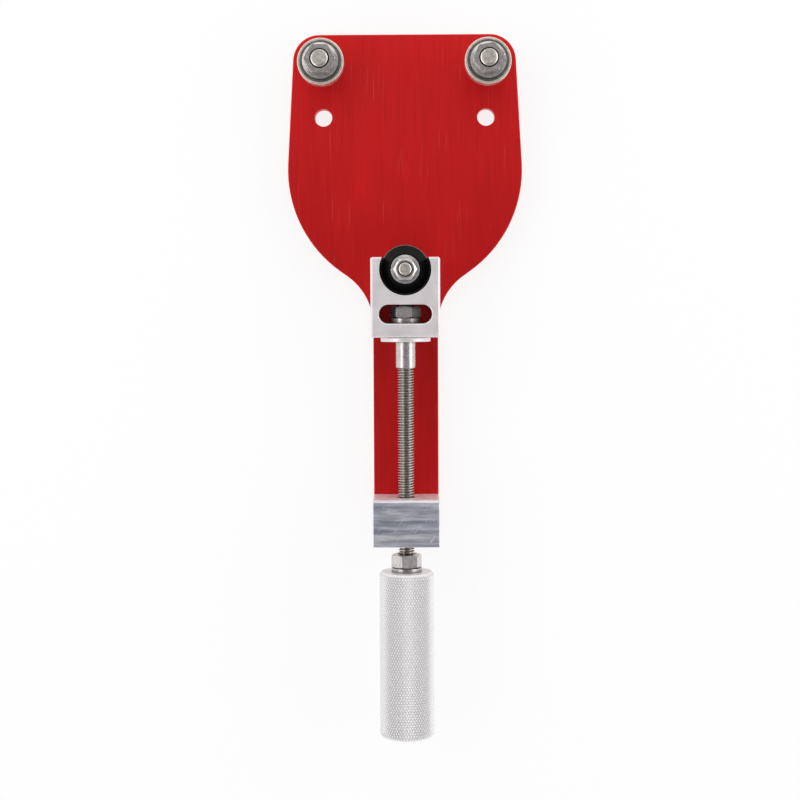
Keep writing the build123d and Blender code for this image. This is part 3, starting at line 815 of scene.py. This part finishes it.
wheel_centre = middle("cutter_wheel")
wheel_radius = across("cutter_wheel").x / 2
pocket_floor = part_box("cutter_spacer")[0].z
slider_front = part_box("slider_block")[1].z
looks = {
    "red_anodised": red_anodised(),
    "sawn_aluminium": sawn_aluminium(),
    "satin_aluminium": satin_aluminium(
        wheel_centre, wheel_radius + POCKET_SHADE_REACH, pocket_floor, slider_front
    ),
    "knurled_aluminium": knurled_aluminium(),
    "zinc_steel": zinc_steel(),
    "stainless": stainless(),
    "bearing_steel": bearing_steel(),
    "shield_steel": shield_steel(),
    "bronze": bronze(),
    "black_oxide": black_oxide(wheel_centre, wheel_radius),
    "cage_nylon": cage_nylon(),
}
for part in frame["record"]["subparts"]:
    cad_piece = NODES[part["node"]]
    smooth(cad_piece.data, CAD_SHARP_DEG)
    paint(cad_piece, looks[part["material_slot"]])
paint(handle, looks["knurled_aluminium"])
thread_look = threaded_stainless()
for piece in [lead_screw, *bolts]:
    paint(piece, thread_look)


# ---- floor, light and camera ------------------------------------------------------------------


def make_floor():
    """A plain pale floor that lights itself enough to stay even, a hair below the object."""
    half = 3.0
    gap = 0.02 * MM
    corners = [(-half, -half, 0), (half, -half, 0), (half, half, 0), (-half, half, 0)]
    mesh = bpy.data.meshes.new("floor")
    mesh.from_pydata(corners, [], [(0, 1, 2, 3)])
    floor = bpy.data.objects.new("floor", mesh)
    bpy.context.scene.collection.objects.link(floor)
    s = Shader("floor_look")
    s.set(base=(0.16, 0.16, 0.16), roughness=0.9, specular=0.1)
    s.set(glow=(1, 1, 1), glow_strength=0.84)
    paint(floor, s.material)
    floor.location.z = CAD_BOX[0].z - gap


def add_softbox(name, axis, lean_deg, size, power):
    """An area light about a metre away, tilted from overhead about one of the object's axes."""
    overhead = Matrix.Translation((0, 0.1, 1.0))
    light = bpy.data.lights.new(name, "AREA")
    light.shape = "RECTANGLE"
    light.size, light.size_y = size
    light.energy = power
    lamp = bpy.data.objects.new(name, light)
    lamp.matrix_world = Matrix.Rotation(math.radians(lean_deg), 4, axis) @ overhead
    bpy.context.scene.collection.objects.link(lamp)


def make_world():
    """A pale studio, bright round the horizon and dimmest nearly overhead, towards the handle."""
    tilt = math.radians(9)
    stops = ((0.0, 1.08), (0.22, 1.05), (0.50, 0.62), (0.80, 0.50), (0.93, 0.38), (1.0, 0.28))
    world = bpy.data.worlds.new("studio")
    bpy.context.scene.world = world
    world.use_nodes = True
    tree = world.node_tree
    direction = tree.nodes.new("ShaderNodeTexCoord")
    height = tree.nodes.new("ShaderNodeVectorMath")
    height.operation = "DOT_PRODUCT"
    height.inputs[1].default_value = (0, -math.sin(tilt), math.cos(tilt))
    ramp = tree.nodes.new("ShaderNodeValToRGB")
    fill_ramp(ramp, stops)
    background = tree.nodes["Background"]
    background.inputs["Strength"].default_value = 1.0
    tree.links.new(direction.outputs["Generated"], height.inputs[0])
    tree.links.new(height.outputs["Value"], ramp.inputs["Fac"])
    tree.links.new(ramp.outputs["Color"], background.inputs["Color"])


def make_camera():
    """Almost straight down on the front, from a little towards the rollers."""
    stand = Vector((2.92, 37.59, 750.0)) * MM
    pitch = Matrix.Rotation(math.radians(-2.308), 3, "X")
    yaw = Matrix.Rotation(math.radians(0.438), 3, "Y")
    roll = Matrix.Rotation(math.radians(-0.25), 3, "Z")
    data = bpy.data.cameras.new("camera")
    data.lens = 67.76
    data.sensor_width = 36.0
    data.shift_y = -0.04
    data.clip_start = 0.01
    camera = bpy.data.objects.new("camera", data)
    camera.location = stand
    camera.rotation_mode = "QUATERNION"
    camera.rotation_quaternion = (roll @ pitch @ yaw).to_quaternion()
    bpy.context.scene.collection.objects.link(camera)
    bpy.context.scene.camera = camera


make_floor()
make_world()
add_softbox("left_softbox", axis="Y", lean_deg=-46, size=(0.5, 1.4), power=3.3)
add_softbox("right_softbox", axis="Y", lean_deg=61, size=(0.57, 1.4), power=3.4)
add_softbox("far_softbox", axis="X", lean_deg=-38, size=(0.9, 0.4), power=1.2)
make_camera()
bpy.context.scene.view_settings.view_transform = "Standard"
